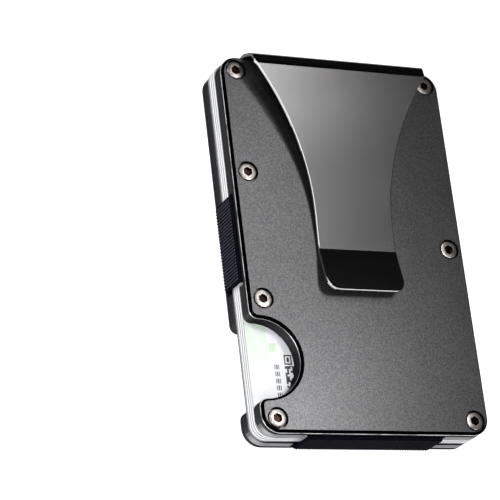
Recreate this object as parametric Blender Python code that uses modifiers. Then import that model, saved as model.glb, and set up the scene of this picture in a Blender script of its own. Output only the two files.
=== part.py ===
# Slim metal card wallet: two screwed plate pairs, elastic straps, a stack of cards and a note clip.
# It lies on its back plate. +Z runs from the back plate to the clip, +Y to the open end, -X to the thumb notch.
import math

import bmesh
import bpy
from mathutils import Matrix

MM = 0.001

# Plates
PLATE_WIDTH = 54.0 * MM
PLATE_LENGTH = 86.0 * MM
PLATE_CORNER_RADIUS = 4.0 * MM
OUTER_THICKNESS = 1.75 * MM
INNER_THICKNESS = 2.0 * MM
PLATE_GAP = 0.08 * MM
CHAMFER = 0.65 * MM
CORNER_STEPS = 8

# Thumb notch in the -X edge
NOTCH_Y = -26.7 * MM
NOTCH_RADIUS = 8.8 * MM
NOTCH_FILLET = 1.8 * MM
NOTCH_STEPS = 22
FILLET_STEPS = 5

# Cards
CARD_COUNT = 4
CARD_WIDTH = 53.98 * MM
CARD_LENGTH = 85.6 * MM
CARD_THICKNESS = 0.76 * MM
CARD_CORNER_RADIUS = 3.18 * MM
CARD_GAP = 0.2 * MM
CARD_Y = 0.05 * MM

# Straps and the channels that hold them
STRAP_THICKNESS = 0.7 * MM
STRAP_CLEARANCE = 0.1 * MM
STRAP_BEND_RADIUS = 0.9 * MM
CHANNEL_DEPTH = 0.85 * MM
CHANNEL_MARGIN = 0.6 * MM
EDGE_RECESS = 0.9 * MM
RECESS_MARGIN = 0.75 * MM
SIDE_STRAP_WIDTH = 19.5 * MM
SIDE_STRAP_Y = 0.65 * MM
END_STRAP_WIDTH = 32.0 * MM
END_STRAP_REACH = 10.0 * MM

# Screws
SCREW_X = 23.5 * MM
SCREW_LEFT_Y = (-39.85 * MM, -13.5 * MM, 15.6 * MM, 39.75 * MM)
SCREW_RIGHT_Y = (-39.85 * MM, -0.2 * MM, 39.75 * MM)
HEAD_RADIUS = 2.0 * MM
HEAD_HEIGHT = 1.0 * MM
HEAD_SINK = 0.1 * MM
HEAD_BEVEL = 0.25 * MM
SOCKET_FLATS = 1.8 * MM
SOCKET_DEPTH = 0.6 * MM
SHANK_RADIUS = 0.85 * MM
SHANK_SHORT_OF_CARDS = 0.3 * MM
COUNTERBORE_RADIUS = 2.38 * MM
COUNTERBORE_DEPTH = 1.15 * MM
HOLE_RADIUS = 1.1 * MM
STRAP_HOLE_RADIUS = 1.4 * MM
ROUND_STEPS = 24

# Note clip: one bent sheet, in two pieces that meet at the flexing bend.
# Each (y, height) is on the sheet's outer face, its height taken from the front plate's face.
CLIP_THICKNESS = 0.7 * MM
CLIP_TOP_HALF_WIDTH = 21.1 * MM
CLIP_WAIST_HALF_WIDTH = 9.35 * MM
CLIP_WAIST_Y = 5.0 * MM
CLIP_FLARE_Y = 40.0 * MM
LEG_END_Y = 33.5 * MM
LEG_LIFT = 0.13 * MM
EAR_HALF_WIDTH = 25.8 * MM
EAR_START_Y = 36.6 * MM
EAR_SHOULDER = 0.5 * MM
EAR_CORNER_RADIUS = 2.8 * MM
POCKET_MARGIN = 0.25 * MM
POCKET_DEPTH = 0.9 * MM
ROOT_BEND_RADIUS = 0.85 * MM
ROOT_BEND_REACH = 43.9 * MM
TAIL_CORNER_RADIUS = 2.8 * MM
TAIL_END = (-12.0 * MM, 3.35 * MM)
HINGE_Y = 43.06 * MM
HINGE_HEIGHT = 0.97 * MM

HALF_THICKNESS = INNER_THICKNESS + PLATE_GAP + OUTER_THICKNESS
STACK_HEIGHT = CARD_COUNT * CARD_THICKNESS + (CARD_COUNT + 1) * CARD_GAP
TOTAL_THICKNESS = 2 * HALF_THICKNESS + STACK_HEIGHT
LEG_HEIGHT = LEG_LIFT - OUTER_THICKNESS - PLATE_GAP - POCKET_DEPTH
BEYOND = 1.0 * MM

ROOT_RISE = (
    (ROOT_BEND_REACH, LEG_HEIGHT + ROOT_BEND_RADIUS),
    (43.85 * MM, -0.3 * MM),
    (43.45 * MM, 0.93 * MM),
)
ARM_BEND = (
    (43.34 * MM, 1.24 * MM),
    (42.95 * MM, 2.25 * MM),
    (42.55 * MM, 3.25 * MM),
    (42.1 * MM, 3.95 * MM),
    (41.5 * MM, 4.29 * MM),
    (39.7 * MM, 4.93 * MM),
    (39.3 * MM, 5.0 * MM),
)
ARM_SLOPE = (
    (39.3 * MM, 5.0 * MM),
    (36.0 * MM, 4.74 * MM),
    (30.0 * MM, 4.16 * MM),
    (20.0 * MM, 2.92 * MM),
    (8.0 * MM, 1.62 * MM),
    (-1.9 * MM, 0.98 * MM),
)

# Paints: colour, roughness, metallic
ANODISED = ((0.105, 0.105, 0.11, 1.0), 0.45, 0.85)
INNER_METAL = ((0.06, 0.06, 0.065, 1.0), 0.35, 0.85)
STEEL = ((0.62, 0.6, 0.58, 1.0), 0.25, 1.0)
CLIP_STEEL = ((0.28, 0.275, 0.28, 1.0), 0.3, 1.0)
ELASTIC = ((0.02, 0.021, 0.03, 1.0), 0.9, 0.0)
CARD_PLASTIC = ((0.9, 0.91, 0.92, 1.0), 0.35, 0.0)


def clear_scene():
    for thing in list(bpy.data.objects):
        bpy.data.objects.remove(thing, do_unlink=True)


def new_collection(name):
    made = bpy.data.collections.new(name)
    bpy.context.scene.collection.children.link(made)
    return made


def new_empty(name, place, parent=None):
    empty = bpy.data.objects.new(name, None)
    empty.empty_display_size = 5 * MM
    wallet.objects.link(empty)
    empty.location = place
    empty.parent = parent
    return empty


def paint(name, look):
    material = bpy.data.materials.new(name)
    material.use_nodes = True
    shader = material.node_tree.nodes["Principled BSDF"]
    shader.inputs["Base Color"].default_value = look[0]
    shader.inputs["Roughness"].default_value = look[1]
    shader.inputs["Metallic"].default_value = look[2]
    material.diffuse_color = look[0]
    return material


def mesh_from(name, bm):
    mesh = bpy.data.meshes.new(name)
    bmesh.ops.recalc_face_normals(bm, faces=bm.faces)
    bm.to_mesh(mesh)
    bm.free()
    return mesh


def add_part(name, mesh, parent=None):
    part = bpy.data.objects.new(name, mesh)
    wallet.objects.link(part)
    part.parent = parent
    return part


def add_cutter(name, bm, parent=None):
    tool = bpy.data.objects.new(name, mesh_from(name, bm))
    cutters.objects.link(tool)
    tool.parent = parent
    tool.hide_render = True
    tool.display_type = "WIRE"
    return tool


def cut(part, tool):
    boolean = part.modifiers.new(tool.name, "BOOLEAN")
    boolean.operation = "DIFFERENCE"
    boolean.solver = "EXACT"
    boolean.object = tool


def shade(mesh, sharp_angle):
    mesh.shade_smooth()
    mesh.set_sharp_from_angle(angle=math.radians(sharp_angle))


def arc(centre, radius, start, end, steps):
    """Points on an arc, angles in degrees."""
    turns = [math.radians(start + (end - start) * i / steps) for i in range(steps + 1)]
    return [(centre[0] + radius * math.cos(turn), centre[1] + radius * math.sin(turn)) for turn in turns]


def corner_arcs(width, length, radius):
    """Four corner arcs, from the lower right one round to the lower left one."""
    x = width / 2 - radius
    y = length / 2 - radius
    centres = ((x, -y), (x, y), (-x, y), (-x, -y))
    return [
        arc(centre, radius, 90 * i - 90, 90 * i, CORNER_STEPS) for i, centre in enumerate(centres)
    ]


def rounded_rectangle(width, length, radius):
    return sum(corner_arcs(width, length, radius), [])


def notch():
    """The thumb notch, followed down the -X edge."""
    x = -PLATE_WIDTH / 2 + NOTCH_FILLET
    rise = NOTCH_RADIUS + NOTCH_FILLET
    points = arc((x, NOTCH_Y + rise), NOTCH_FILLET, 180, 270, FILLET_STEPS)
    points += arc((x, NOTCH_Y), NOTCH_RADIUS, 90, -90, NOTCH_STEPS)[1:-1]
    points += arc((x, NOTCH_Y - rise), NOTCH_FILLET, 90, 180, FILLET_STEPS)
    return points


def outer_outline():
    corners = corner_arcs(PLATE_WIDTH, PLATE_LENGTH, PLATE_CORNER_RADIUS)
    return corners[0] + corners[1] + corners[2] + notch() + corners[3]


def inner_outline():
    """The outer outline, with a recess at each stretch of edge that a strap passes over."""
    corners = corner_arcs(PLATE_WIDTH, PLATE_LENGTH, PLATE_CORNER_RADIUS)
    x = PLATE_WIDTH / 2
    y = -PLATE_LENGTH / 2
    low = SIDE_STRAP_Y - SIDE_STRAP_WIDTH / 2 - RECESS_MARGIN
    high = SIDE_STRAP_Y + SIDE_STRAP_WIDTH / 2 + RECESS_MARGIN
    side = END_STRAP_WIDTH / 2 + RECESS_MARGIN
    right = [(x, low), (x - EDGE_RECESS, low), (x - EDGE_RECESS, high), (x, high)]
    left = [(-px, py) for px, py in reversed(right)]
    end = [(-side, y), (-side, y + EDGE_RECESS), (side, y + EDGE_RECESS), (side, y)]
    return end + corners[0] + right + corners[1] + corners[2] + left + notch() + corners[3]


def raised(points, low, high):
    """A flat outline, as a filled 2D curve, raised from one height to another."""
    curve = bpy.data.curves.new("outline", "CURVE")
    curve.dimensions = "2D"
    curve.fill_mode = "BOTH"
    curve.extrude = (high - low) / 2
    spline = curve.splines.new("POLY")
    spline.points.add(len(points) - 1)
    for point, (x, y) in zip(spline.points, points):
        point.co = (x, y, 0, 1)
    spline.use_cyclic_u = True
    drawn = bpy.data.objects.new("outline", curve)
    bpy.context.scene.collection.objects.link(drawn)
    graph = bpy.context.evaluated_depsgraph_get()
    bm = bmesh.new()
    bm.from_mesh(bpy.data.meshes.new_from_object(drawn.evaluated_get(graph)))
    bpy.data.objects.remove(drawn)
    bmesh.ops.remove_doubles(bm, verts=bm.verts, dist=MM / 1000)
    # The curve's fill leaves each cap in triangles, so each is made one face again.
    for sign in (-1, 1):
        cap = [face for face in bm.faces if all(vert.co.z * sign > 0 for vert in face.verts)]
        bmesh.ops.dissolve_faces(bm, faces=cap)
    bmesh.ops.translate(bm, verts=bm.verts, vec=(0, 0, (low + high) / 2))
    return bm


def add_box(bm, low, high):
    size = [b - a for a, b in zip(low, high)]
    middle = [(a + b) / 2 for a, b in zip(low, high)]
    bmesh.ops.create_cube(bm, size=1.0, matrix=Matrix.Translation(middle) @ Matrix.Diagonal((*size, 1.0)))


def add_cylinder(bm, place, radius, low, high, steps=ROUND_STEPS):
    bmesh.ops.create_cone(
        bm,
        cap_ends=True,
        segments=steps,
        radius1=radius,
        radius2=radius,
        depth=high - low,
        matrix=Matrix.Translation((*place, (low + high) / 2)),
    )


def screw_places():
    left = [(-SCREW_X, y) for y in SCREW_LEFT_Y]
    right = [(SCREW_X, y) for y in SCREW_RIGHT_Y]
    return left + right


def cylinders(places, radius, low, high):
    bm = bmesh.new()
    for place in places:
        add_cylinder(bm, place, radius, low, high)
    return bm


def face_back(side, *pieces):
    """Pieces are drawn with their card face at height 0 for the front half; the back half is its mirror image."""
    if side == "front":
        return
    for piece in pieces:
        piece.data.transform(Matrix.Diagonal((1, 1, -1, 1)))
        piece.data.flip_normals()


def make_outer_plate(side, half):
    low = INNER_THICKNESS + PLATE_GAP
    bm = raised(outer_outline(), low, HALF_THICKNESS - CHAMFER)
    top = [face for face in bm.faces if face.normal.z > 0.5]
    bmesh.ops.inset_region(bm, faces=top, thickness=CHAMFER, depth=CHAMFER, use_even_offset=True)
    name = side + "_outer_plate"
    plate = add_part(name, mesh_from(name, bm), half)
    plate.data.materials.append(paint(name, ANODISED))
    sink = HALF_THICKNESS - COUNTERBORE_DEPTH
    holes = cylinders(screw_places(), HOLE_RADIUS, low - BEYOND, HALF_THICKNESS - COUNTERBORE_DEPTH / 2)
    sinks = cylinders(screw_places(), COUNTERBORE_RADIUS, sink, HALF_THICKNESS + BEYOND)
    tools = [add_cutter(side + "_clearance_holes", holes, half), add_cutter(side + "_counterbores", sinks, half)]
    face_back(side, plate, *tools)
    for tool in tools:
        cut(plate, tool)
    shade(plate.data, 25)


def strap_channels():
    """The two channels in an inner plate's outer face that the straps lie in."""
    floor = INNER_THICKNESS - CHANNEL_DEPTH
    above = INNER_THICKNESS + BEYOND
    half_side = SIDE_STRAP_WIDTH / 2 + CHANNEL_MARGIN
    half_end = END_STRAP_WIDTH / 2 + CHANNEL_MARGIN
    reach = END_STRAP_REACH + CHANNEL_MARGIN - PLATE_LENGTH / 2
    bm = bmesh.new()
    add_box(
        bm,
        (-PLATE_WIDTH, SIDE_STRAP_Y - half_side, floor),
        (PLATE_WIDTH, SIDE_STRAP_Y + half_side, above),
    )
    add_box(bm, (-half_end, -PLATE_LENGTH, floor), (half_end, reach, above))
    return bm


def make_inner_plate(side, half):
    name = side + "_inner_plate"
    plate = add_part(name, mesh_from(name, raised(inner_outline(), 0, INNER_THICKNESS)), half)
    plate.data.materials.append(paint(name, INNER_METAL))
    above = INNER_THICKNESS + BEYOND
    pocket = raised(pocket_outline(), INNER_THICKNESS - POCKET_DEPTH, above)
    holes = cylinders(screw_places(), HOLE_RADIUS, -BEYOND, above)
    tools = [
        add_cutter(side + "_strap_channels", strap_channels(), half),
        add_cutter(side + "_clip_pocket", pocket, half),
        add_cutter(side + "_screw_holes", holes, half),
    ]
    face_back(side, plate, *tools)
    for tool in tools:
        cut(plate, tool)
    shade(plate.data, 25)


def make_screw_mesh():
    """A low head with a hexagon socket on a plain shank, its origin where the head bears on the plate."""
    shank_low = SHANK_SHORT_OF_CARDS - (HALF_THICKNESS - HEAD_SINK - HEAD_HEIGHT)
    bm = bmesh.new()
    add_cylinder(bm, (0, 0), HEAD_RADIUS, 0, HEAD_HEIGHT)
    top = max(bm.faces, key=lambda face: face.calc_center_median().z)
    bmesh.ops.bevel(bm, geom=list(top.edges), offset=HEAD_BEVEL, segments=2, affect="EDGES", profile=0.6)
    low = min(bm.faces, key=lambda face: face.calc_center_median().z)
    bmesh.ops.inset_region(bm, faces=[low], thickness=HEAD_RADIUS - SHANK_RADIUS, use_even_offset=True)
    shank = bmesh.ops.extrude_face_region(bm, geom=[low])
    end = [item for item in shank["geom"] if isinstance(item, bmesh.types.BMVert)]
    bmesh.ops.translate(bm, verts=end, vec=(0, 0, shank_low))
    bmesh.ops.delete(bm, geom=[low], context="FACES")
    blank = add_part("screw_blank", mesh_from("screw_blank", bm))
    hexagon = bmesh.new()
    corner_radius = SOCKET_FLATS / math.sqrt(3)
    add_cylinder(hexagon, (0, 0), corner_radius, HEAD_HEIGHT - SOCKET_DEPTH, HEAD_HEIGHT + BEYOND, steps=6)
    socket = add_cutter("screw_socket", hexagon)
    cut(blank, socket)
    graph = bpy.context.evaluated_depsgraph_get()
    mesh = bpy.data.meshes.new_from_object(blank.evaluated_get(graph))
    mesh.name = "screw"
    bpy.data.objects.remove(blank)
    bpy.data.objects.remove(socket)
    mesh.materials.append(paint("screw_steel", STEEL))
    shade(mesh, 35)
    return mesh


def make_screws(side, half, mesh):
    seat = HALF_THICKNESS - HEAD_SINK - HEAD_HEIGHT
    for number, place in enumerate(screw_places(), 1):
        screw = add_part(f"{side}_screw_{number}", mesh, half)
        screw.location = (*place, seat)
        if side == "back":
            screw.location.z = -seat
            screw.rotation_euler = (0, math.pi, 0)


def strap_heights():
    """The heights of a strap's outer and inner face in its channel, taken from the wallet's outer face."""
    outer = OUTER_THICKNESS + (CHANNEL_DEPTH + PLATE_GAP - STRAP_THICKNESS) / 2
    return outer, outer + STRAP_THICKNESS


def make_side_strap():
    """A closed elastic loop round both inner plates and the cards, drawn as seen from the closed end."""
    outer_z, inner_z = strap_heights()
    inner_width = PLATE_WIDTH + 2 * STRAP_CLEARANCE
    outer_width = inner_width + 2 * STRAP_THICKNESS
    outside = rounded_rectangle(outer_width, TOTAL_THICKNESS - 2 * outer_z, STRAP_BEND_RADIUS)
    inside = rounded_rectangle(
        inner_width, TOTAL_THICKNESS - 2 * inner_z, STRAP_BEND_RADIUS - STRAP_THICKNESS
    )
    half_width = SIDE_STRAP_WIDTH / 2
    strap = add_part("side_strap", mesh_from("side_strap", raised(outside, -half_width, half_width)))
    strap.data.materials.append(paint("side_strap", ELASTIC))
    room = add_cutter("side_strap_room", raised(inside, -half_width - BEYOND, half_width + BEYOND))
    for piece in (strap, room):
        piece.location = (0, SIDE_STRAP_Y, TOTAL_THICKNESS / 2)
        piece.rotation_euler = (math.pi / 2, 0, 0)
    cut(strap, room)
    holes = cylinders([(SCREW_X, SCREW_RIGHT_Y[1])], STRAP_HOLE_RADIUS, 0, TOTAL_THICKNESS)
    cut(strap, add_cutter("side_strap_screw_hole", holes))
    shade(strap.data, 40)


def make_end_strap():
    """An elastic hoop over the closed end, both legs held between plates, drawn as seen from +X."""
    outer_z, inner_z = strap_heights()
    end = -PLATE_LENGTH / 2
    leg_y = end + END_STRAP_REACH
    outer_y = end - STRAP_CLEARANCE - STRAP_THICKNESS + STRAP_BEND_RADIUS
    tight = STRAP_BEND_RADIUS - STRAP_THICKNESS
    low = outer_z + STRAP_BEND_RADIUS
    high = TOTAL_THICKNESS - low
    points = [(leg_y, outer_z)]
    points += arc((outer_y, low), STRAP_BEND_RADIUS, 270, 180, CORNER_STEPS)
    points += arc((outer_y, high), STRAP_BEND_RADIUS, 180, 90, CORNER_STEPS)
    points += [(leg_y, TOTAL_THICKNESS - outer_z), (leg_y, TOTAL_THICKNESS - inner_z)]
    points += arc((outer_y, high), tight, 90, 180, FILLET_STEPS)
    points += arc((outer_y, low), tight, 180, 270, FILLET_STEPS)
    points += [(leg_y, inner_z)]
    half_width = END_STRAP_WIDTH / 2
    strap = add_part("end_strap", mesh_from("end_strap", raised(points, -half_width, half_width)))
    strap.data.materials.append(paint("end_strap", ELASTIC))
    strap.rotation_euler = (math.pi / 2, 0, math.pi / 2)
    shade(strap.data, 40)


def make_cards():
    bm = raised(rounded_rectangle(CARD_WIDTH, CARD_LENGTH, CARD_CORNER_RADIUS), 0, CARD_THICKNESS)
    mesh = mesh_from("card", bm)
    mesh.materials.append(paint("card", CARD_PLASTIC))
    shade(mesh, 25)
    for i in range(CARD_COUNT):
        card = add_part(f"card_{i + 1}", mesh)
        card.location = (0, CARD_Y, HALF_THICKNESS + CARD_GAP + i * (CARD_THICKNESS + CARD_GAP))


def leg_half_width(y, grow=0.0):
    """Half the width of the clip's hidden leg, with an ear each side for the end screws."""
    top = CLIP_TOP_HALF_WIDTH + grow
    ear = EAR_HALF_WIDTH + grow
    start = EAR_START_Y - grow
    radius = EAR_CORNER_RADIUS + grow
    over = y - (PLATE_LENGTH / 2 - PLATE_CORNER_RADIUS)
    if y <= start or over >= radius:
        return top
    if y < start + EAR_SHOULDER:
        return top + (ear - top) * (y - start) / EAR_SHOULDER
    if over <= 0:
        return ear
    return max(top, ear - radius + math.sqrt(radius**2 - over**2))


def leg_steps(grow=0.0):
    """The places along the leg where its width changes."""
    start = EAR_START_Y - grow
    radius = EAR_CORNER_RADIUS + grow
    corner_y = PLATE_LENGTH / 2 - PLATE_CORNER_RADIUS
    turns = [corner_y + radius * math.sin(math.radians(15 * i)) for i in range(6)]
    return [LEG_END_Y - grow, start, start + EAR_SHOULDER] + turns + [corner_y + radius]


def pocket_outline():
    """The leg's outline, grown by the pocket's margin and run out past the open end."""
    steps = leg_steps(POCKET_MARGIN) + [PLATE_LENGTH / 2 + BEYOND]
    right = [(leg_half_width(y, POCKET_MARGIN), y) for y in steps]
    left = [(-x, y) for x, y in reversed(right)]
    return right + left


def smooth_path(keys, steps):
    """A Catmull-Rom path through the keys."""
    ends = (keys[0],) + tuple(keys) + (keys[-1],)
    path = []
    for knots in zip(ends, ends[1:], ends[2:], ends[3:]):
        for i in range(steps):
            t = i / steps
            weights = (
                -0.5 * t + t * t - 0.5 * t**3,
                1 - 2.5 * t * t + 1.5 * t**3,
                0.5 * t + 2 * t * t - 1.5 * t**3,
                -0.5 * t * t + 0.5 * t**3,
            )
            y = sum(weight * knot[0] for weight, knot in zip(weights, knots))
            height = sum(weight * knot[1] for weight, knot in zip(weights, knots))
            path.append((y, height))
    path.append(keys[-1])
    return path


def bent_sheet(name, path, half_widths, parent):
    """An open strip drawn out along the path, given its thickness by Solidify."""
    bm = bmesh.new()
    (y, z), half = path[0], half_widths[0]
    front = bm.edges.new([bm.verts.new((-half, y, z)), bm.verts.new((half, y, z))])
    for (y, z), half in zip(path[1:], half_widths[1:]):
        drawn = bmesh.ops.extrude_edge_only(bm, edges=[front])["geom"]
        front = next(item for item in drawn if isinstance(item, bmesh.types.BMEdge))
        for vert in front.verts:
            vert.co = (math.copysign(half, vert.co.x), y, z)
    sheet = add_part(name, mesh_from(name, bm), parent)
    sheet.data.materials.append(paint(name, CLIP_STEEL))
    wall = sheet.modifiers.new("thickness", "SOLIDIFY")
    wall.thickness = CLIP_THICKNESS
    wall.offset = -1 if sheet.data.polygons[0].normal.z * (path[1][0] - path[0][0]) < 0 else 1
    wall.use_even_offset = True
    return sheet


def make_clip_root(half):
    """The leg screwed between the front plates, and the start of the bend."""
    leg = [(y, LEG_HEIGHT) for y in leg_steps()]
    bend_centre = (ROOT_BEND_REACH - ROOT_BEND_RADIUS, LEG_HEIGHT + ROOT_BEND_RADIUS)
    bend = arc(bend_centre, ROOT_BEND_RADIUS, -90, 0, CORNER_STEPS)
    rise = smooth_path(ROOT_RISE, 3)[1:]
    half_widths = [leg_half_width(y) for y in leg_steps()] + [CLIP_TOP_HALF_WIDTH] * len(bend + rise)
    path = [(y, height + HALF_THICKNESS) for y, height in leg + bend + rise]
    root = bent_sheet("clip_root", path, half_widths, half)
    places = [(-SCREW_X, SCREW_LEFT_Y[-1]), (SCREW_X, SCREW_RIGHT_Y[-1])]
    cut(root, add_cutter("clip_screw_holes", cylinders(places, HOLE_RADIUS, 0, HALF_THICKNESS), half))
    shade(root.data, 30)


def arm_half_width(y):
    """Sides that flare from a straight waist to the bend."""
    share = min(max((y - CLIP_WAIST_Y) / (CLIP_FLARE_Y - CLIP_WAIST_Y), 0.0), 1.0)
    return CLIP_WAIST_HALF_WIDTH + (CLIP_TOP_HALF_WIDTH - CLIP_WAIST_HALF_WIDTH) * share**2


def tail_rounding():
    """Steps round the tail's corners, as (distance left to the end, loss of half-width)."""
    turns = [math.radians(10 * i) for i in range(1, 10)]
    return [
        (TAIL_CORNER_RADIUS * (1 - math.sin(turn)), TAIL_CORNER_RADIUS * (1 - math.cos(turn))) for turn in turns
    ]


def make_clip_arm(half):
    """The rest of the bend, the sloping arm and the turned-up tail, drawn from the hinge."""
    hinge = new_empty("clip_hinge", (0, HINGE_Y, HALF_THICKNESS + HINGE_HEIGHT), half)
    path = smooth_path(ARM_BEND, 4)[:-1] + smooth_path(ARM_SLOPE, 6)
    half_widths = [arm_half_width(y) for y, height in path]
    crease = path[-1]
    tail = (TAIL_END[0] - crease[0], TAIL_END[1] - crease[1])
    for left_over, loss in tail_rounding():
        share = 1 - left_over / math.hypot(*tail)
        path.append((crease[0] + share * tail[0], crease[1] + share * tail[1]))
        half_widths.append(CLIP_WAIST_HALF_WIDTH - loss)
    from_hinge = [(y - HINGE_Y, height - HINGE_HEIGHT) for y, height in path]
    shade(bent_sheet("clip_arm", from_hinge, half_widths, hinge).data, 12)


clear_scene()
wallet = new_collection("minimalist_wallet")
cutters = new_collection("cutters")
screw_mesh = make_screw_mesh()
back_half = new_empty("back_half", (0, 0, HALF_THICKNESS))
front_half = new_empty("front_half", (0, 0, TOTAL_THICKNESS - HALF_THICKNESS))
for half_name, half_empty in (("back", back_half), ("front", front_half)):
    make_outer_plate(half_name, half_empty)
    make_inner_plate(half_name, half_empty)
    make_screws(half_name, half_empty, screw_mesh)
make_side_strap()
make_end_strap()
make_cards()
make_clip_root(front_half)
make_clip_arm(front_half)
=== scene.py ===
from math import radians

import bpy
import bmesh
from mathutils import Matrix, Vector


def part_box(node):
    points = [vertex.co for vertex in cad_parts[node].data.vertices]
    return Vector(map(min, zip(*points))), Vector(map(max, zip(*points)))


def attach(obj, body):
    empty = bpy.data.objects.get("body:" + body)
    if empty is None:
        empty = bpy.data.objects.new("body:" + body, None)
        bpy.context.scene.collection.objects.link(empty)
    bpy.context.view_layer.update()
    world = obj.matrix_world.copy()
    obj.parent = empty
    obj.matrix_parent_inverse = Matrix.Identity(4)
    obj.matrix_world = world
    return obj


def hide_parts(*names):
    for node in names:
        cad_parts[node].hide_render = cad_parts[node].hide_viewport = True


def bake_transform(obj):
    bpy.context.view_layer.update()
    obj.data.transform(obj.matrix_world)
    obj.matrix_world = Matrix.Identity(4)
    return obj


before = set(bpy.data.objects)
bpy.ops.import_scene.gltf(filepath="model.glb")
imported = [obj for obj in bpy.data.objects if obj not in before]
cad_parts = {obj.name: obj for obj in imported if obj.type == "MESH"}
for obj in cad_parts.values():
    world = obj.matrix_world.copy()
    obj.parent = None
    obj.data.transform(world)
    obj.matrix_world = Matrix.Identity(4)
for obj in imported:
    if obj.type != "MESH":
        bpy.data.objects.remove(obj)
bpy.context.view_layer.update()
mm = 0.001
flatGap = 0.01 * mm  # an edge that rises less than this lies level


# small helpers


def deselectAll():
    bpy.ops.object.select_all(action="DESELECT")


def only(piece):
    deselectAll()
    piece.select_set(True)
    bpy.context.view_layer.objects.active = piece


def editAll(piece):
    only(piece)
    bpy.ops.object.mode_set(mode="EDIT")
    bpy.ops.mesh.select_mode(type="FACE")
    bpy.ops.mesh.select_all(action="SELECT")


def leaveEdit():
    bpy.ops.object.mode_set(mode="OBJECT")


def selectFaces(piece, wanted):  # in edit mode
    mesh = bmesh.from_edit_mesh(piece.data)
    for face in mesh.faces:
        face.select_set(bool(wanted(face)))
    mesh.select_flush_mode()
    bmesh.update_edit_mesh(piece.data)


def selectEdges(piece, wanted):  # in edit mode
    bpy.ops.mesh.select_mode(type="EDGE")
    mesh = bmesh.from_edit_mesh(piece.data)
    for edge in mesh.edges:
        edge.select_set(bool(wanted(edge)))
    bmesh.update_edit_mesh(piece.data)


def edgeRun(edge, axis):  # how far an edge runs along one axis
    return abs(edge.verts[0].co[axis] - edge.verts[1].co[axis])


def edgeMiddle(edge):
    return (edge.verts[0].co + edge.verts[1].co) / 2


def applyModifiers(piece):
    only(piece)
    for name in [modifier.name for modifier in piece.modifiers]:
        bpy.ops.object.modifier_apply(modifier=name)


def settle(piece):  # place and turn go into the mesh
    only(piece)
    bpy.ops.object.transform_apply(location=True, rotation=True, scale=True)


cadCopy = {
    "weldGap": 0.002 * mm,
    "flatAngle": 0.6,  # degrees between faces that count as one
}


def copyOfNodes(name, nodeNames):
    copies = []
    for nodeName in nodeNames:
        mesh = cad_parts[nodeName].data.copy()
        piece = bpy.data.objects.new(name, mesh)
        bpy.context.scene.collection.objects.link(piece)
        copies.append(piece)
    only(copies[0])
    for piece in copies[1:]:
        piece.select_set(True)
    if len(copies) > 1:
        bpy.ops.object.join()
    piece = copies[0]
    editAll(piece)
    bpy.ops.mesh.remove_doubles(threshold=cadCopy["weldGap"])
    bpy.ops.mesh.dissolve_limited(angle_limit=radians(cadCopy["flatAngle"]))
    leaveEdit()
    return piece


def flattenShading(piece, faceWeight=80):  # broad flat faces keep their own normals
    weighting = piece.modifiers.new("weighting", "WEIGHTED_NORMAL")
    weighting.keep_sharp = True
    weighting.weight = faceWeight
    applyModifiers(piece)


def roundEdges(piece, width, segments, limit=30, harden=True):
    bevel = piece.modifiers.new("edges", "BEVEL")
    bevel.width = width
    bevel.segments = segments
    bevel.limit_method = "ANGLE"
    bevel.angle_limit = radians(limit)
    bevel.harden_normals = harden
    bevel.use_clamp_overlap = True
    only(piece)
    bpy.ops.object.shade_smooth_by_angle(angle=radians(limit))
    applyModifiers(piece)


def dress(piece, material):
    piece.data.materials.clear()
    piece.data.materials.append(material)


# node helpers


noiseSpan = (0.3, 0.7)  # where most values of a noise texture lie


def newMaterial(name, baseColor, metallic, roughness):
    material = bpy.data.materials.new(name)
    material.use_nodes = True
    material.diffuse_color = baseColor
    shader = material.node_tree.nodes["Principled BSDF"]
    shader.inputs["Base Color"].default_value = baseColor
    shader.inputs["Metallic"].default_value = metallic
    shader.inputs["Roughness"].default_value = roughness
    return material, material.node_tree, shader


def addNode(tree, kind, **settings):
    node = tree.nodes.new(kind)
    for key, value in settings.items():
        if key in node.inputs:
            node.inputs[key].default_value = value
        else:
            setattr(node, key, value)
    return node


def math(tree, operation, first, second=None, clamp=False):
    node = tree.nodes.new("ShaderNodeMath")
    node.operation = operation
    node.use_clamp = clamp
    for socket, value in zip(node.inputs, (first, second)):
        if value is None:
            continue
        if isinstance(value, (int, float)):
            socket.default_value = value
        else:
            tree.links.new(value, socket)
    return node.outputs[0]


def mapRange(tree, value, fromMin, fromMax, toMin=0.0, toMax=1.0, smooth=False):
    node = tree.nodes.new("ShaderNodeMapRange")
    node.interpolation_type = "SMOOTHSTEP" if smooth else "LINEAR"
    node.inputs["From Min"].default_value = fromMin
    node.inputs["From Max"].default_value = fromMax
    node.inputs["To Min"].default_value = toMin
    node.inputs["To Max"].default_value = toMax
    tree.links.new(value, node.inputs["Value"])
    return node.outputs["Result"]


def inRange(tree, value, low, high):  # 1 between two values
    over = math(tree, "GREATER_THAN", value, low)
    return math(tree, "MULTIPLY", over, math(tree, "LESS_THAN", value, high))


def mixColor(tree, factor, first, second):
    node = tree.nodes.new("ShaderNodeMix")
    node.data_type = "RGBA"
    sockets = (node.inputs[0], node.inputs[6], node.inputs[7])
    for socket, value in zip(sockets, (factor, first, second)):
        if isinstance(value, (int, float, tuple)):
            socket.default_value = value
        else:
            tree.links.new(value, socket)
    return node.outputs[2]


def shaded(color, factor):
    return tuple(factor * part for part in color[:3]) + (1,)


def objectPlace(tree, scale=(1, 1, 1)):
    place = addNode(tree, "ShaderNodeTexCoord")
    mapping = addNode(tree, "ShaderNodeMapping", Scale=scale)
    tree.links.new(place.outputs["Object"], mapping.inputs["Vector"])
    return mapping.outputs["Vector"]


def splitAxes(tree, vector):
    parts = addNode(tree, "ShaderNodeSeparateXYZ")
    tree.links.new(vector, parts.inputs[0])
    return parts


def faceNormal(tree):
    facing = addNode(tree, "ShaderNodeNewGeometry")
    return splitAxes(tree, facing.outputs["True Normal"])


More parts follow.
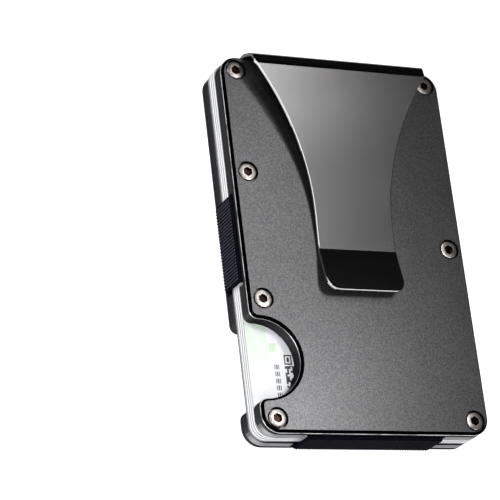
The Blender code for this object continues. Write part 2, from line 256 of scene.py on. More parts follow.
def newGroup(name, inputs, outputs):
    group = bpy.data.node_groups.new(name, "ShaderNodeTree")
    for label, kind, value in inputs:
        socket = group.interface.new_socket(label, in_out="INPUT", socket_type=kind)
        socket.default_value = value
    for label, kind in outputs:
        group.interface.new_socket(label, in_out="OUTPUT", socket_type=kind)
    start = group.nodes.new("NodeGroupInput")
    end = group.nodes.new("NodeGroupOutput")
    return group, start, end


def useGroup(tree, group, **values):
    node = tree.nodes.new("ShaderNodeGroup")
    node.node_tree = group
    for key, value in values.items():
        node.inputs[key].default_value = value
    return node


def addBump(tree, shader, height, strength, distance):
    bump = addNode(tree, "ShaderNodeBump", Strength=strength, Distance=distance)
    tree.links.new(height, bump.inputs["Height"])
    tree.links.new(bump.outputs["Normal"], shader.inputs["Normal"])


# shared effects


grain = {
    "pitScale": 0.7,
    "pitDepth": 0.5,
    "speckleSpan": (0.35, 0.65),
}


def makeGrainGroup():  # fine pits of a blasted skin, with broad handling marks
    group, start, end = newGroup(
        "blastedGrain",
        [("Grain Scale", "NodeSocketFloat", 6000.0), ("Mark Scale", "NodeSocketFloat", 60.0)],
        [(label, "NodeSocketFloat") for label in ("Height", "Speckle", "Marks")],
    )
    place = objectPlace(group)
    fine = addNode(group, "ShaderNodeTexNoise", Detail=3.0, Roughness=0.6)
    group.links.new(place, fine.inputs["Vector"])
    group.links.new(start.outputs["Grain Scale"], fine.inputs["Scale"])
    pits = addNode(group, "ShaderNodeTexVoronoi", feature="F1")
    group.links.new(place, pits.inputs["Vector"])
    pitScale = math(group, "MULTIPLY", start.outputs["Grain Scale"], grain["pitScale"])
    group.links.new(pitScale, pits.inputs["Scale"])
    pitDepth = math(group, "MULTIPLY", pits.outputs["Distance"], grain["pitDepth"])
    height = math(group, "ADD", fine.outputs[0], pitDepth)
    group.links.new(height, end.inputs["Height"])
    speckle = mapRange(group, fine.outputs[0], *grain["speckleSpan"])
    group.links.new(speckle, end.inputs["Speckle"])
    marks = addNode(group, "ShaderNodeTexNoise", Detail=4.0, Roughness=0.55)
    group.links.new(place, marks.inputs["Vector"])
    group.links.new(start.outputs["Mark Scale"], marks.inputs["Scale"])
    group.links.new(mapRange(group, marks.outputs[0], *noiseSpan), end.inputs["Marks"])
    return group


def makeBrushGroup():  # long fine scratches running with the wallet's length
    group, start, end = newGroup(
        "brushedLines",
        [("Across", "NodeSocketFloat", 5000.0), ("Along", "NodeSocketFloat", 25.0)],
        [("Height", "NodeSocketFloat"), ("Streak", "NodeSocketFloat")],
    )
    place = addNode(group, "ShaderNodeTexCoord")
    stretch = addNode(group, "ShaderNodeCombineXYZ")
    group.links.new(start.outputs["Across"], stretch.inputs["X"])
    group.links.new(start.outputs["Along"], stretch.inputs["Y"])
    group.links.new(start.outputs["Along"], stretch.inputs["Z"])
    scaled = addNode(group, "ShaderNodeVectorMath", operation="MULTIPLY")
    group.links.new(place.outputs["Object"], scaled.inputs[0])
    group.links.new(stretch.outputs[0], scaled.inputs[1])
    lines = addNode(group, "ShaderNodeTexNoise", Scale=1.0, Detail=4.0, Roughness=0.7)
    group.links.new(scaled.outputs[0], lines.inputs["Vector"])
    group.links.new(lines.outputs[0], end.inputs["Height"])
    group.links.new(mapRange(group, lines.outputs[0], *noiseSpan), end.inputs["Streak"])
    return group


def makeSlopeGroup():  # 1 where a face leans between lying flat and standing up
    group, start, end = newGroup(
        "slopedFaces",
        [("Flat", "NodeSocketFloat", 0.985), ("Upright", "NodeSocketFloat", 0.25)],
        [("Sloped", "NodeSocketFloat"), ("Standing", "NodeSocketFloat")],
    )
    rise = math(group, "ABSOLUTE", faceNormal(group).outputs["Z"])
    below = math(group, "LESS_THAN", rise, start.outputs["Flat"])
    above = math(group, "GREATER_THAN", rise, start.outputs["Upright"])
    group.links.new(math(group, "MULTIPLY", below, above), end.inputs["Sloped"])
    group.links.new(math(group, "SUBTRACT", 1.0, above), end.inputs["Standing"])
    return group


grainGroup = makeGrainGroup()
brushGroup = makeBrushGroup()
slopeGroup = makeSlopeGroup()
print("shared effects ready")


# finishes


outerPlate = {
    "faceColor": (0.130, 0.1275, 0.131, 1),
    # painted shade: the chamfer is coloured near black
    "shadedChamferColor": (0.012, 0.012, 0.013, 1),
    # painted shade: the standing sides are dark grey
    "shadedSideColor": (0.055, 0.054, 0.056, 1),
    "grazingTint": (0.25, 0.25, 0.25, 1),
    "rimHighlightColor": (0.62, 0.62, 0.63, 1),
    "rimWidth": 0.11 * mm,
    "rimAngles": (40, 50),  # degrees, between the chamfer and the side
    "rimInset": 0.3 * mm,
    "rimHighlightBreakup": (0.1, 0.6),
    "rimRoughness": (0.18, 0.3),
    "rimGrain": {"Grain Scale": 3000.0, "Mark Scale": 260.0},
    "rimBump": (0.2, 0.01 * mm),
    "faceRoughness": (0.35, 0.38),
    "chamferRoughness": 0.2,
    "grain": {"Grain Scale": 3300.0, "Mark Scale": 90.0},
    "speckle": (0.72, 1.35),  # darkest and lightest specks against the face
    "grainBump": (0.5, 0.03 * mm),
    "edgeRadius": 0.09 * mm,
}


def blastedMetal():
    face = outerPlate["faceColor"]
    material, tree, shader = newMaterial("blastedMetal", face, metallic=1.0, roughness=0.42)
    shader.inputs["Specular Tint"].default_value = outerPlate["grazingTint"]
    skin = useGroup(tree, grainGroup, **outerPlate["grain"])
    slope = useGroup(tree, slopeGroup)
    faceRough = mapRange(tree, skin.outputs["Marks"], 0.0, 1.0, *outerPlate["faceRoughness"])
    rough = addNode(tree, "ShaderNodeMix", data_type="FLOAT")
    tree.links.new(slope.outputs["Sloped"], rough.inputs[0])
    tree.links.new(faceRough, rough.inputs[2])
    rough.inputs[3].default_value = outerPlate["chamferRoughness"]
    tree.links.new(rough.outputs[0], shader.inputs["Roughness"])
    darkest, lightest = (shaded(face, factor) for factor in outerPlate["speckle"])
    speckled = mixColor(tree, skin.outputs["Speckle"], darkest, lightest)
    # painted shade: the standing sides are dark grey
    shadedSides = mixColor(tree, slope.outputs["Standing"], speckled, outerPlate["shadedSideColor"])
    # painted shade: the chamfer is near black
    color = mixColor(tree, slope.outputs["Sloped"], shadedSides, outerPlate["shadedChamferColor"])
    tree.links.new(color, shader.inputs["Base Color"])
    addBump(tree, shader, skin.outputs["Height"], *outerPlate["grainBump"])
    return material


def highlightRim():  # painted highlight: a light metal strip along the chamfer's outer edge, broken into patches by random marks
    rimHighlight = outerPlate["rimHighlightColor"]
    material, tree, shader = newMaterial("highlightRim", rimHighlight, metallic=1.0, roughness=0.2)
    skin = useGroup(tree, grainGroup, **outerPlate["rimGrain"])
    wear = mapRange(tree, skin.outputs["Marks"], *outerPlate["rimHighlightBreakup"])
    color = mixColor(tree, wear, outerPlate["shadedSideColor"], rimHighlight)
    tree.links.new(color, shader.inputs["Base Color"])
    rough = mapRange(tree, skin.outputs["Marks"], 0.0, 1.0, *outerPlate["rimRoughness"])
    tree.links.new(rough, shader.inputs["Roughness"])
    addBump(tree, shader, skin.outputs["Height"], *outerPlate["rimBump"])
    return material


innerPlate = {
    "color": (0.5, 0.5, 0.51, 1),
    # painted shade on the end walls near the plate's ends
    "darkColor": (0.22, 0.22, 0.225, 1),
    "shadedSideColor": (0.055, 0.055, 0.057, 1),
    "grazingTint": (0.3, 0.3, 0.3, 1),
    "endReach": 38.5 * mm,
    "endTurn": (0.25, 0.8),
    "grain": {"Grain Scale": 3500.0, "Mark Scale": 140.0},
    "passScale": (60, 60, 9000),  # cutter passes lie in thin level lines
    "passSpan": (0.42, 0.58),
    "roughness": (0.26, 0.42),
    "grainShare": 0.3,
    "passBump": (0.25, 0.02 * mm),
    "edgeRadius": 0.1 * mm,
}


def machinedMetal():
    light = innerPlate["color"]
    material, tree, shader = newMaterial("machinedMetal", light, metallic=1.0, roughness=0.34)
    shader.inputs["Specular Tint"].default_value = innerPlate["grazingTint"]
    skin = useGroup(tree, grainGroup, **innerPlate["grain"])
    passes = addNode(tree, "ShaderNodeTexNoise", Scale=1.0, Detail=3.0, Roughness=0.6)
    tree.links.new(objectPlace(tree, innerPlate["passScale"]), passes.inputs["Vector"])
    streak = mapRange(tree, passes.outputs[0], *innerPlate["passSpan"])
    color = mixColor(tree, streak, innerPlate["darkColor"], light)
    # painted shade: end walls near the plate's ends are dark grey
    alongY = math(tree, "ABSOLUTE", splitAxes(tree, objectPlace(tree)).outputs["Y"])
    nearEnd = math(tree, "GREATER_THAN", alongY, innerPlate["endReach"])
    turned = math(tree, "ABSOLUTE", faceNormal(tree).outputs["Y"])
    shadedEnds = mapRange(tree, turned, *innerPlate["endTurn"], smooth=True)
    shadedEnds = math(tree, "MULTIPLY", shadedEnds, nearEnd)
    color = mixColor(tree, shadedEnds, innerPlate["shadedSideColor"], color)
    tree.links.new(color, shader.inputs["Base Color"])
    rough = mapRange(tree, passes.outputs[0], *noiseSpan, *innerPlate["roughness"])
    tree.links.new(rough, shader.inputs["Roughness"])
    fine = math(tree, "MULTIPLY", skin.outputs["Height"], innerPlate["grainShare"])
    addBump(tree, shader, math(tree, "ADD", passes.outputs[0], fine), *innerPlate["passBump"])
    return material


clip = {
    "color": (0.216, 0.212, 0.214, 1),
    "darkStreak": (0.196, 0.192, 0.194, 1),
    "roughness": (0.255, 0.271),
    "anisotropy": 0.5,
    "brush": {"Across": 4500.0, "Along": 14.0},
    "wear": {"Grain Scale": 5000.0, "Mark Scale": 50.0},
    "brushBump": (0.02, 0.006 * mm),
    "paintedShadeColor": (0.045, 0.044, 0.045, 1),  # painted shade for the tail, the bend, the right rounded edge and the left cut side
    "shadedBendTurn": 0.1,
    "sideTurn": (0.2, 0.93),  # rounded edges lie between these, cut sides past them
    "creaseY": -1.92 * mm,
    "creaseBand": (-2.2 * mm, -1.6 * mm),
    "creaseAngle": 9,
    "edgeHighlightColor": (0.68, 0.68, 0.69, 1),
    "edgeRoughness": 0.42,
    "edgeMetallic": 0.25,
    "edgeRadius": 0.21 * mm,
    "edgeAngle": 60,
    "edgeRise": 0.6 * mm,
    "edgeEndY": 41.0 * mm,  # the bevelled outline and its painted highlight stop where the sheet bends over
    "hingeY": 43.1 * mm,
    "joinFromY": 42.5 * mm,
    "joinHeight": (0.12 * mm, 0.35 * mm),
}


def brushedMetal():
    light = clip["color"]
    material, tree, shader = newMaterial("brushedMetal", light, metallic=1.0, roughness=0.36)
    shader.inputs["Anisotropic"].default_value = clip["anisotropy"]
    across = addNode(tree, "ShaderNodeTangent", direction_type="UV_MAP", uv_map="UVMap")
    tree.links.new(across.outputs["Tangent"], shader.inputs["Tangent"])
    brush = useGroup(tree, brushGroup, **clip["brush"])
    wear = useGroup(tree, grainGroup, **clip["wear"])
    color = mixColor(tree, brush.outputs["Streak"], clip["darkStreak"], light)
    normal = faceNormal(tree)
    alongY = splitAxes(tree, objectPlace(tree)).outputs["Y"]
    rounded, cut = clip["sideTurn"]
    leftward = math(tree, "MULTIPLY", normal.outputs["X"], -1.0)
    tailward = math(tree, "MULTIPLY", normal.outputs["Y"], -1.0)
    # painted shade: the tail, the bend, the right rounded edge and the left cut side are coloured
    # near black
    shadedTail = math(tree, "LESS_THAN", alongY, clip["creaseY"])
    bend = math(tree, "GREATER_THAN", normal.outputs["Y"], clip["shadedBendTurn"])
    shadedRightEdge = math(tree, "GREATER_THAN", normal.outputs["X"], rounded)
    shadedLeftSide = math(tree, "GREATER_THAN", leftward, cut)
    bent = math(tree, "MAXIMUM", shadedTail, bend)
    dark = math(tree, "MAXIMUM", bent, math(tree, "MAXIMUM", shadedRightEdge, shadedLeftSide))
    color = mixColor(tree, dark, color, clip["paintedShadeColor"])
    # painted highlight: rounded edges that face left or towards the tail get a light,
    # half-metallic colour
    edge = inRange(tree, math(tree, "MAXIMUM", leftward, tailward), rounded, cut)
    edge = math(tree, "MULTIPLY", edge, math(tree, "LESS_THAN", alongY, clip["edgeEndY"]))
    edge = math(tree, "MULTIPLY", edge, math(tree, "SUBTRACT", 1.0, shadedRightEdge))
    color = mixColor(tree, edge, color, clip["edgeHighlightColor"])
    tree.links.new(color, shader.inputs["Base Color"])
    rough = mapRange(tree, wear.outputs["Marks"], 0.0, 1.0, *clip["roughness"])
    rough = math(tree, "MAXIMUM", rough, math(tree, "MULTIPLY", edge, clip["edgeRoughness"]))
    tree.links.new(rough, shader.inputs["Roughness"])
    metallic = mapRange(tree, edge, 0.0, 1.0, 1.0, clip["edgeMetallic"])
    tree.links.new(metallic, shader.inputs["Metallic"])
    addBump(tree, shader, brush.outputs["Streak"], *clip["brushBump"])
    return material


screw = {
    "color": (0.55, 0.505, 0.48, 1),
    "roughness": (0.28, 0.38),
    "grain": {"Grain Scale": 4000.0, "Mark Scale": 500.0},
    "dullness": 0.75,
    "grainBump": (0.12, 0.01 * mm),
    "edgeRadius": 0.07 * mm,
    # painted shade: the hex socket's recess is near black
    "socketShadeColor": (0.02, 0.012, 0.009, 1),
    "socketRoughness": (0.2, 0.3),
    "socketReach": 1.06 * mm,
    "socketDepth": (0.01 * mm, 0.7 * mm),
}


def screwSteel(name, color, roughness):
    material, tree, shader = newMaterial(name, color, metallic=1.0, roughness=roughness[1])
    skin = useGroup(tree, grainGroup, **screw["grain"])
    rough = mapRange(tree, skin.outputs["Marks"], 0.0, 1.0, *roughness)
    tree.links.new(rough, shader.inputs["Roughness"])
    speckled = mixColor(tree, skin.outputs["Speckle"], shaded(color, screw["dullness"]), color)
    tree.links.new(speckled, shader.inputs["Base Color"])
    addBump(tree, shader, skin.outputs["Height"], *screw["grainBump"])
    return material


cardStyle = {
    "white": (0.77, 0.78, 0.79, 1),
    "seamAndGapShade": (0.12, 0.125, 0.14, 1),
    "green": (0.60, 0.76, 0.58, 1),
    "deepGreen": (0.56, 0.72, 0.52, 1),
    "lilac": (0.80, 0.78, 0.85, 1),
    "ink": (0.02, 0.022, 0.03, 1),
    "coat": (0.25, 0.15),  # weight and roughness of the lacquer
    "faceRoughness": (0.3, 0.45),
    "fibreScale": 900.0,
    "fibreShade": 0.95,
    "fibreBump": (0.06, 0.02 * mm),
    # the print, in mm across and along the card
    "washReach": (-30.0, -19.0),
    "washStrength": 0.8,
    "washScale": 130.0,
    "washSpan": (0.35, 0.6),
    "panelEdge": -22.0,
    "panelTop": -22.05,
    "block": ((-21.7, -20.1), (-24.0, -22.05)),
    "frame": ((-18.5, -16.7), (-26.8, -24.6)),
    "frameLine": 0.3,
    "frameCore": 0.62,
    "code": ((-18.5, -12.0), (-33.2, -27.1)),
    "codeCell": 0.42,
    "codeShare": 0.5,
    "bars": ((-20.9, -19.8), (-34.4, -26.4)),
    "barPitch": 1.55,
    "barShare": 0.7,
    "slitPitch": 0.5,
    "slitShare": 0.66,
    "barInk": 0.95,
    # bottom, core and top lines on a card's side: bottom and top are painted shade in the gaps
    # between cards, the core is a faint lamination seam
    "seamReach": (0.09 * mm, 0.035 * mm, 0.09 * mm),
    "seamDepth": (0.85, 0.25, 0.85),
    "darkBottom": 0.6 * mm,  # how far up from its underside the lowest card is darkened
    "edgeRadius": 0.12 * mm,
}


def inBox(tree, parts, box, grow=0.0):  # 1 inside a rectangle in plan, in mm
    (left, right), (near, far) = box
    across = inRange(tree, parts.outputs["X"], (left - grow) * mm, (right + grow) * mm)
    along = inRange(tree, parts.outputs["Y"], (near - grow) * mm, (far + grow) * mm)
    return math(tree, "MULTIPLY", across, along)


def stripes(tree, parts, axis, kind):
    turns = math(tree, "DIVIDE", parts.outputs[axis], cardStyle[kind + "Pitch"] * mm)
    return math(tree, "LESS_THAN", math(tree, "FRACT", turns), cardStyle[kind + "Share"])


def printedFace(tree, parts, place, color):
    style = cardStyle
    cloud = addNode(tree, "ShaderNodeTexNoise", Scale=style["washScale"], Detail=1.0)
    tree.links.new(place, cloud.inputs["Vector"])
    near, far = (reach * mm for reach in style["washReach"])
    rising = mapRange(tree, parts.outputs["Y"], near, far, 0.0, style["washStrength"], smooth=True)
    patches = mapRange(tree, cloud.outputs[0], *style["washSpan"])
    washed = math(tree, "MULTIPLY", rising, patches, clamp=True)
    color = mixColor(tree, washed, color, style["green"])
    panel = math(tree, "GREATER_THAN", parts.outputs["X"], style["panelEdge"] * mm)
    color = mixColor(tree, panel, color, style["white"])
    above = math(tree, "GREATER_THAN", parts.outputs["Y"], style["panelTop"] * mm)
    color = mixColor(tree, math(tree, "MULTIPLY", panel, above), color, style["lilac"])
    color = mixColor(tree, inBox(tree, parts, style["block"]), color, style["deepGreen"])
    outside = inBox(tree, parts, style["frame"])
    hollow = inBox(tree, parts, style["frame"], -style["frameLine"])
    core = inBox(tree, parts, style["frame"], -style["frameCore"])
    ink = math(tree, "ADD", math(tree, "SUBTRACT", outside, hollow), core)
    cells = addNode(tree, "ShaderNodeVectorMath", operation="SNAP")
    tree.links.new(place, cells.inputs[0])
    cells.inputs[1].default_value = (style["codeCell"] * mm, style["codeCell"] * mm, 1)
    dice = addNode(tree, "ShaderNodeTexWhiteNoise", noise_dimensions="2D")
    tree.links.new(cells.outputs[0], dice.inputs["Vector"])
    dark = math(tree, "GREATER_THAN", dice.outputs["Value"], style["codeShare"])
    code = math(tree, "MULTIPLY", dark, inBox(tree, parts, style["code"]))
    ink = math(tree, "ADD", ink, code)
    rows, slits = stripes(tree, parts, "Y", "bar"), stripes(tree, parts, "X", "slit")
    bars = math(tree, "MULTIPLY", rows, slits)
    bars = math(tree, "MULTIPLY", bars, inBox(tree, parts, style["bars"]))
    bars = math(tree, "MULTIPLY", bars, style["barInk"])
    ink = math(tree, "ADD", ink, bars, clamp=True)
    return mixColor(tree, ink, color, style["ink"])


def laminate(name, seamHeights, printed, darkBelow=None):
    style = cardStyle
    material, tree, shader = newMaterial(name, style["white"], metallic=0.0, roughness=0.38)
    coatWeight, coatRoughness = style["coat"]
    shader.inputs["Coat Weight"].default_value = coatWeight
    shader.inputs["Coat Roughness"].default_value = coatRoughness
    place = addNode(tree, "ShaderNodeTexCoord").outputs["Object"]
    parts = splitAxes(tree, place)
    slope = useGroup(tree, slopeGroup)
    fibres = addNode(tree, "ShaderNodeTexNoise", Scale=style["fibreScale"], Detail=3.0)
    tree.links.new(place, fibres.inputs["Vector"])
    shade = shaded(style["white"], style["fibreShade"])
    color = mixColor(tree, fibres.outputs[0], style["white"], shade)
    if printed:
        face = printedFace(tree, parts, place, color)
        color = mixColor(tree, slope.outputs["Standing"], face, color)
    notFlat = math(tree, "ADD", slope.outputs["Standing"], slope.outputs["Sloped"], clamp=True)
    # painted shade at the card's bottom and top edges, a faint lamination line at its core
    for height, reach, depth in zip(seamHeights, style["seamReach"], style["seamDepth"]):
        away = math(tree, "ABSOLUTE", math(tree, "SUBTRACT", parts.outputs["Z"], height))
        line = math(tree, "MULTIPLY", math(tree, "LESS_THAN", away, reach), notFlat)
        color = mixColor(tree, math(tree, "MULTIPLY", line, depth), color, style["seamAndGapShade"])
    if darkBelow is not None:
        darkBottom = math(tree, "LESS_THAN", parts.outputs["Z"], darkBelow)
        color = mixColor(tree, darkBottom, color, style["ink"])
        coat = mapRange(tree, darkBottom, 0.0, 1.0, coatWeight, 0.0)
        tree.links.new(coat, shader.inputs["Coat Weight"])
    tree.links.new(color, shader.inputs["Base Color"])
    rough = mapRange(tree, fibres.outputs[0], *noiseSpan, *style["faceRoughness"])
    tree.links.new(rough, shader.inputs["Roughness"])
    addBump(tree, shader, fibres.outputs[0], *style["fibreBump"])
    return material


elastic = {
    "ground": (0.0015, 0.0015, 0.003, 1),
    "groundSheen": (0.008, 0.4),  # weight and roughness
    "groundRoughness": (0.92, 0.72),
    "groundBump": (0.5, 0.06 * mm),
    "weftScale": 700.0,
    "warpScale": 560.0,
    "yarn": (0.125, 0.125, 0.165, 1),
    "yarnDark": (0.005, 0.005, 0.009, 1),
    "yarnSheen": (0.03, 0.35),
    "endYarn": (0.035, 0.035, 0.042, 1),
    "endYarnSheen": (0.004, 0.35),
    "yarnRoughness": (0.8, 0.6),
    "yarnBump": (0.5, 0.03 * mm),
    "twistScale": 2600.0,
    "patchScale": 1400.0,
}


def dullCloth(name, color, roughness, sheen):
    material, tree, shader = newMaterial(name, color, metallic=0.0, roughness=roughness)
    shader.inputs["Sheen Weight"].default_value = sheen[0]
    shader.inputs["Sheen Roughness"].default_value = sheen[1]
    shader.inputs["Specular IOR Level"].default_value = 0.0
    place = addNode(tree, "ShaderNodeTexCoord").outputs["Object"]
    return material, tree, shader, place


def bands(tree, place, direction, scale, distortion):
    wave = addNode(
        tree,
        "ShaderNodeTexWave",
        wave_type="BANDS",
        bands_direction=direction,
        Scale=scale,
        Distortion=distortion,
    )
    tree.links.new(place, wave.inputs["Vector"])
    return wave.outputs[1]


def wovenGround():
    low, sheen = elastic["ground"], elastic["groundSheen"]
    material, tree, shader, place = dullCloth("wovenElastic", low, 0.85, sheen)
    weft = bands(tree, place, "Z", elastic["weftScale"], 0.6)
    warp = bands(tree, place, "Y", elastic["warpScale"], 0.6)
    side = bands(tree, place, "X", elastic["warpScale"], 0.6)
    crossed = math(tree, "MAXIMUM", weft, math(tree, "MULTIPLY", warp, side))
    color = mixColor(tree, crossed, low, elastic["yarnDark"])
    tree.links.new(color, shader.inputs["Base Color"])
    rough = mapRange(tree, crossed, 0.0, 1.0, *elastic["groundRoughness"])
    tree.links.new(rough, shader.inputs["Roughness"])
    addBump(tree, shader, crossed, *elastic["groundBump"])
    return material


def yarnFibre(name, light, dark, sheen):
    material, tree, shader, place = dullCloth(name, light, 0.7, sheen)
    twist = bands(tree, place, "DIAGONAL", elastic["twistScale"], 1.5)
    patches = addNode(tree, "ShaderNodeTexNoise", Scale=elastic["patchScale"], Detail=2.0)
    tree.links.new(place, patches.inputs["Vector"])
    worn = mapRange(tree, patches.outputs[0], *noiseSpan, 0.5, 1.0)
    strands = math(tree, "MULTIPLY", twist, worn)
    tree.links.new(mixColor(tree, strands, dark, light), shader.inputs["Base Color"])
    rough = mapRange(tree, strands, 0.0, 1.0, *elastic["yarnRoughness"])
    tree.links.new(rough, shader.inputs["Roughness"])
    addBump(tree, shader, strands, *elastic["yarnBump"])
    return material


blasted = blastedMetal()
# worn is the painted highlight on the outer plates' rims
worn = highlightRim()
machined = machinedMetal()
brushed = brushedMetal()
steel = screwSteel("polishedSteel", screw["color"], screw["roughness"])
# the socket material carries painted shade
shadedSocketSteel = screwSteel("shadedSocketSteel", screw["socketShadeColor"], screw["socketRoughness"])
ground = wovenGround()
yarn = yarnFibre("knitYarn", elastic["yarn"], elastic["yarnDark"], elastic["yarnSheen"])
endYarn = yarnFibre("endKnitYarn", elastic["endYarn"], elastic["ground"], elastic["endYarnSheen"])
print("finishes ready")


# plates


def cutRim(piece, low, high):  # a narrow strip between chamfer and side that carries the painted highlight
    inset = outerPlate["rimInset"]
    flatter, steeper = (radians(angle) for angle in outerPlate["rimAngles"])

    def onRim(edge):
        inside = low + inset < edgeMiddle(edge).z < high - inset
        turned = flatter < abs(edge.calc_face_angle(0)) < steeper
        return inside and turned and edgeRun(edge, 2) < flatGap

    editAll(piece)
    selectEdges(piece, onRim)
    bpy.ops.mesh.bevel(offset=outerPlate["rimWidth"], segments=2, affect="EDGES", material=1)
    leaveEdit()


def makePlates():
    layers = (("outer", outerPlate, blasted), ("inner", innerPlate, machined))
    for side in ("back", "front"):
        for layer, style, material in layers:
            node = side + "_" + layer + "_plate"
            piece = copyOfNodes(side + layer.capitalize() + "Plate", [node])
            dress(piece, material)
            if layer == "outer":
                piece.data.materials.append(worn)
                low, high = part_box(node)
                cutRim(piece, low.z, high.z)
            roundEdges(piece, style["edgeRadius"], 2, harden=False)
            flattenShading(piece)
            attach(piece, side + "_half")
            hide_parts(node)


makePlates()
print("plates ready")


# screws


def makeScrews():
    for side in ("back", "front"):
        for number in range(1, 8):
            node = side + "_screw_" + str(number)
            piece = copyOfNodes(side + "Screw" + str(number), [node])
            roundEdges(piece, screw["edgeRadius"], 2)
            dress(piece, steel)
            piece.data.materials.append(shadedSocketSteel)
            low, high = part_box(node)
            middle = (low + high) / 2
            top = high.z if side == "front" else low.z
            shallow, deep = screw["socketDepth"]
            for face in piece.data.polygons:
                near = (face.center - middle).xy.length < screw["socketReach"]
                if near and shallow < abs(face.center.z - top) < deep:
                    face.material_index = 1
            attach(piece, side + "_half")
            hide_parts(node)


makeScrews()
print("screws ready")


# cards


def makeCards():
    for number in range(1, 5):
        node = "card_" + str(number)
        low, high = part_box(node)
        seams = (low.z, (low.z + high.z) / 2, high.z)
        piece = copyOfNodes("card" + str(number), [node])
        roundEdges(piece, cardStyle["edgeRadius"], 3)
        darkBottom = low.z + cardStyle["darkBottom"] if number == 1 else None
        dress(piece, laminate("laminate" + str(number), seams, number == 4, darkBottom))
        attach(piece, node + "_body")
        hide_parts(node)


makeCards()
print("cards ready")


# the clip, one bent sheet across the flexing bend


def bridgeBend(piece, height):  # opens root and arm where they meet and joins the rims
    gap, reach = clip["joinHeight"]

    def facesJoin(face):
        middle = face.calc_center_median()
        flat = abs(face.normal.z) > 0.6
        return flat and middle.y > clip["joinFromY"] and abs(middle.z - (height + gap)) < reach

    selectFaces(piece, facesJoin)
    bpy.ops.mesh.delete(type="FACE")
    bpy.ops.mesh.select_mode(type="EDGE")
    bpy.ops.mesh.select_non_manifold()
    bpy.ops.mesh.bridge_edge_loops()


def onOutline(edge):
    inside = all(corner.co.y < clip["edgeEndY"] for corner in edge.verts)
    turned = abs(edge.calc_face_angle(0)) > radians(clip["edgeAngle"])
    return inside and turned and edgeRun(edge, 2) < clip["edgeRise"]


def onCrease(edge):
    tailSide, armSide = clip["creaseBand"]
    turned = abs(edge.calc_face_angle(0)) > radians(clip["creaseAngle"])
    return edgeRun(edge, 1) < flatGap and tailSide < edgeMiddle(edge).y < armSide and turned


def makeClip():
    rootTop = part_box("clip_root")[1]
    piece = copyOfNodes("clipSheet", ["clip_root", "clip_arm"])
    editAll(piece)
    bridgeBend(piece, rootTop.z)
    bpy.ops.mesh.select_mode(type="EDGE")
    bpy.ops.mesh.select_all(action="DESELECT")
    selectEdges(piece, onOutline)
    bpy.ops.mesh.bevel(offset=clip["edgeRadius"], segments=3, affect="EDGES", clamp_overlap=False)
    leaveEdit()
    only(piece)
    bpy.ops.object.shade_smooth_by_angle(angle=radians(40))
    editAll(piece)
    bpy.ops.uv.cube_project(cube_size=0.1)
    selectEdges(piece, onCrease)
    bpy.ops.mesh.mark_sharp()
    leaveEdit()
    flattenShading(piece)
    dress(piece, brushed)
    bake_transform(piece)
    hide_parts("clip_root", "clip_arm")


makeClip()
print("clip ready")


# elastic straps, a woven ground with knitted stitches standing on it


strap = {
    "stitchLength": 0.52 * mm,
    "stitchWidth": 0.26 * mm,
    "stitchHeight": 0.15 * mm,
    "lean": 32,  # degrees
    "rowPitch": 0.72 * mm,
    "stitchPitch": 0.62 * mm,
    "ribPitch": 0.62 * mm,
    "ribShare": 0.6,
    "ribThickness": 0.26 * mm,
    "ribLength": 0.66 * mm,
    "ribRow": 0.8 * mm,
    "sink": 0.02 * mm,  # how deep a stitch sits in the ground
    "sideMargins": (0.4 * mm, 0.5 * mm),  # along and across the band
    "endMargins": (0.3 * mm, 0.4 * mm),
}


def makeStrapGround(node, name):
    piece = copyOfNodes(name, [node])
    editAll(piece)
    bpy.ops.mesh.subdivide(number_cuts=3)
    leaveEdit()
    only(piece)
    bpy.ops.object.shade_smooth_by_angle(angle=radians(35))
    dress(piece, ground)
    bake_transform(piece)
    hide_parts(node)


def newStitch(name, rings, size):
    deselectAll()
    bpy.ops.mesh.primitive_uv_sphere_add(
        segments=8, ring_count=rings, radius=0.5, location=(0, 0, 0)
    )
    piece = bpy.context.object
    piece.name = name
    piece.scale = size
    settle(piece)
    return piece


def repeatStitch(piece, runs):
    for count, step in runs:
        array = piece.modifiers.new("repeat", "ARRAY")
        array.count = count
        array.use_relative_offset = False
        array.use_constant_offset = True
        array.constant_offset_displace = step
    applyModifiers(piece)
    only(piece)
    bpy.ops.object.shade_smooth()


def makeStitches(name, outward):
    low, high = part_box("side_strap")
    size = (2 * strap["stitchHeight"], strap["stitchLength"], strap["stitchWidth"])
    piece = newStitch(name, 5, size)
    editAll(piece)
    lean = radians(strap["lean"]) * outward
    bpy.ops.transform.rotate(value=lean, orient_axis="X", center_override=(0, 0, 0))
    leaveEdit()
    marginY, marginZ = strap["sideMargins"]
    across = int((high.z - low.z - marginZ) / strap["stitchPitch"])
    along = int((high.y - low.y - marginY) / strap["rowPitch"])
    spanZ = (across - 1) * strap["stitchPitch"]
    spanY = (along - 1) * strap["rowPitch"]
    piece.location = (
        outward * (high.x - strap["sink"]),
        (low.y + high.y - spanY) / 2,
        (low.z + high.z - spanZ) / 2,
    )
    settle(piece)
    up, onward = (0, 0, strap["stitchPitch"]), (0, strap["rowPitch"], 0)
    repeatStitch(piece, ((across, up), (along, onward)))
    dress(piece, yarn)
    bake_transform(piece)


def makeRibs():
    low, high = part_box("end_strap")
    size = (strap["ribPitch"] * strap["ribShare"], strap["ribThickness"], strap["ribLength"])
    piece = newStitch("endStrapRibs", 9, size)
    marginX, marginZ = strap["endMargins"]
    count = int((high.x - low.x - marginX) / strap["ribPitch"])
    tall = int((high.z - low.z - marginZ) / strap["ribRow"])
    piece.location = (
        (low.x + high.x - (count - 1) * strap["ribPitch"]) / 2,
        low.y + strap["sink"],
        (low.z + high.z - (tall - 1) * strap["ribRow"]) / 2,
    )
    settle(piece)
    up, sideways = (0, 0, strap["ribRow"]), (strap["ribPitch"], 0, 0)
    repeatStitch(piece, ((tall, up), (count, sideways)))
    dress(piece, endYarn)
    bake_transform(piece)


makeStrapGround("side_strap", "sideStrapBand")
makeStrapGround("end_strap", "endStrapBand")
makeStitches("leftStitches", -1)
makeStitches("rightStitches", 1)
makeRibs()
print("straps ready")


# floor, camera and lights


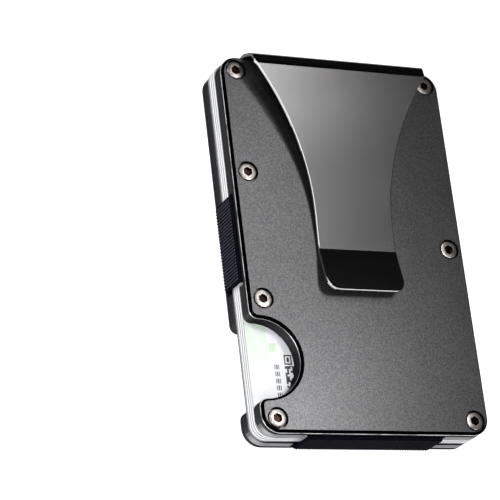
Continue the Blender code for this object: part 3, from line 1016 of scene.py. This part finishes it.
studio = {
    "floorSize": 4.0,
    "floorDrop": 0.05 * mm,
    "floorColor": (0.5, 0.5, 0.5, 1),
    "floorGlow": 0.94,
    "worldGrey": 0.012,
    "aim": (0, 0, 0.01),
    "lights": {
        "rowBox1": {"place": (0.04, 0.0, 0.16), "size": 0.03, "power": 0.054},
        "rowBox2": {"place": (0.04, 0.03, 0.16), "size": 0.03, "power": 0.004},
        "rowBox3": {"place": (0.04, 0.06, 0.16), "size": 0.03, "power": 0.0135},
        "rowBox4": {"place": (0.04, 0.09, 0.16), "size": 0.03, "power": 0.017},
        "rowBox5": {"place": (0.08, 0.0, 0.16), "size": 0.03, "power": 0.004},
        "sideFill": {"place": (-0.44, -0.20, 0.08), "size": 0.2, "power": 0.6},
        "frontFill": {"place": (-0.20, -0.17, 0.36), "size": 0.15, "power": 1.0},
        "rimBox": {"place": (-0.24, 0.18, 0.41), "size": 0.10, "power": 0.9},
        "tailBox": {"place": (0.19, -0.26, 0.33), "size": 0.10, "power": 0.6},
    },
}


def makeStage():
    deselectAll()
    drop = (0, 0, -studio["floorDrop"])
    bpy.ops.mesh.primitive_plane_add(size=studio["floorSize"], location=drop)
    floor = bpy.context.object
    floor.name = "studioFloor"
    pale = studio["floorColor"]
    material, tree, shader = newMaterial("paleFloor", pale, metallic=0.0, roughness=0.9)
    shader.inputs["Emission Color"].default_value = (1, 1, 1, 1)
    shader.inputs["Emission Strength"].default_value = studio["floorGlow"]
    shader.inputs["Specular IOR Level"].default_value = 0.0
    floor.data.materials.append(material)
    world = bpy.data.worlds.new("studioAir")
    world.use_nodes = True
    grey = studio["worldGrey"]
    world.node_tree.nodes["Background"].inputs[0].default_value = (grey, grey, grey, 1)
    bpy.context.scene.world = world


def makeLights():
    for name, facts in studio["lights"].items():
        lamp = bpy.data.lights.new(name, "AREA")
        lamp.energy = facts["power"]
        lamp.size = facts["size"]
        holder = bpy.data.objects.new(name, lamp)
        bpy.context.scene.collection.objects.link(holder)
        holder.location = facts["place"]
        toWallet = Vector(studio["aim"]) - Vector(facts["place"])
        holder.rotation_mode = "QUATERNION"
        holder.rotation_quaternion = toWallet.to_track_quat("-Z", "Y")
        holder.visible_camera = False


cameraStyle = {
    "place": (-0.22396, -0.16904, 0.41455),
    "right": (0.90830397, -0.11241198, 0.40292362),
    "down": (0.04242132, -0.93349713, -0.35606677),
    "ahead": (0.41615422, 0.34050941, -0.84313048),
    "lens": 162.66,
    "sensor": 36,
    "nearest": 0.01,
    "shift": (-0.0056, 0.0322),
}


def makeCamera():
    lens = bpy.data.cameras.new("studioCamera")
    lens.lens = cameraStyle["lens"]
    lens.sensor_width = cameraStyle["sensor"]
    lens.shift_x, lens.shift_y = cameraStyle["shift"]
    lens.clip_start = cameraStyle["nearest"]
    holder = bpy.data.objects.new("studioCamera", lens)
    bpy.context.scene.collection.objects.link(holder)
    right, down, ahead = (Vector(cameraStyle[key]) for key in ("right", "down", "ahead"))
    turn = Matrix((right, -down, -ahead)).transposed()
    holder.matrix_world = Matrix.Translation(cameraStyle["place"]) @ turn.to_4x4()
    bpy.context.scene.camera = holder


makeStage()
makeLights()
makeCamera()
bpy.context.scene.view_settings.view_transform = "Standard"
print("studio ready")
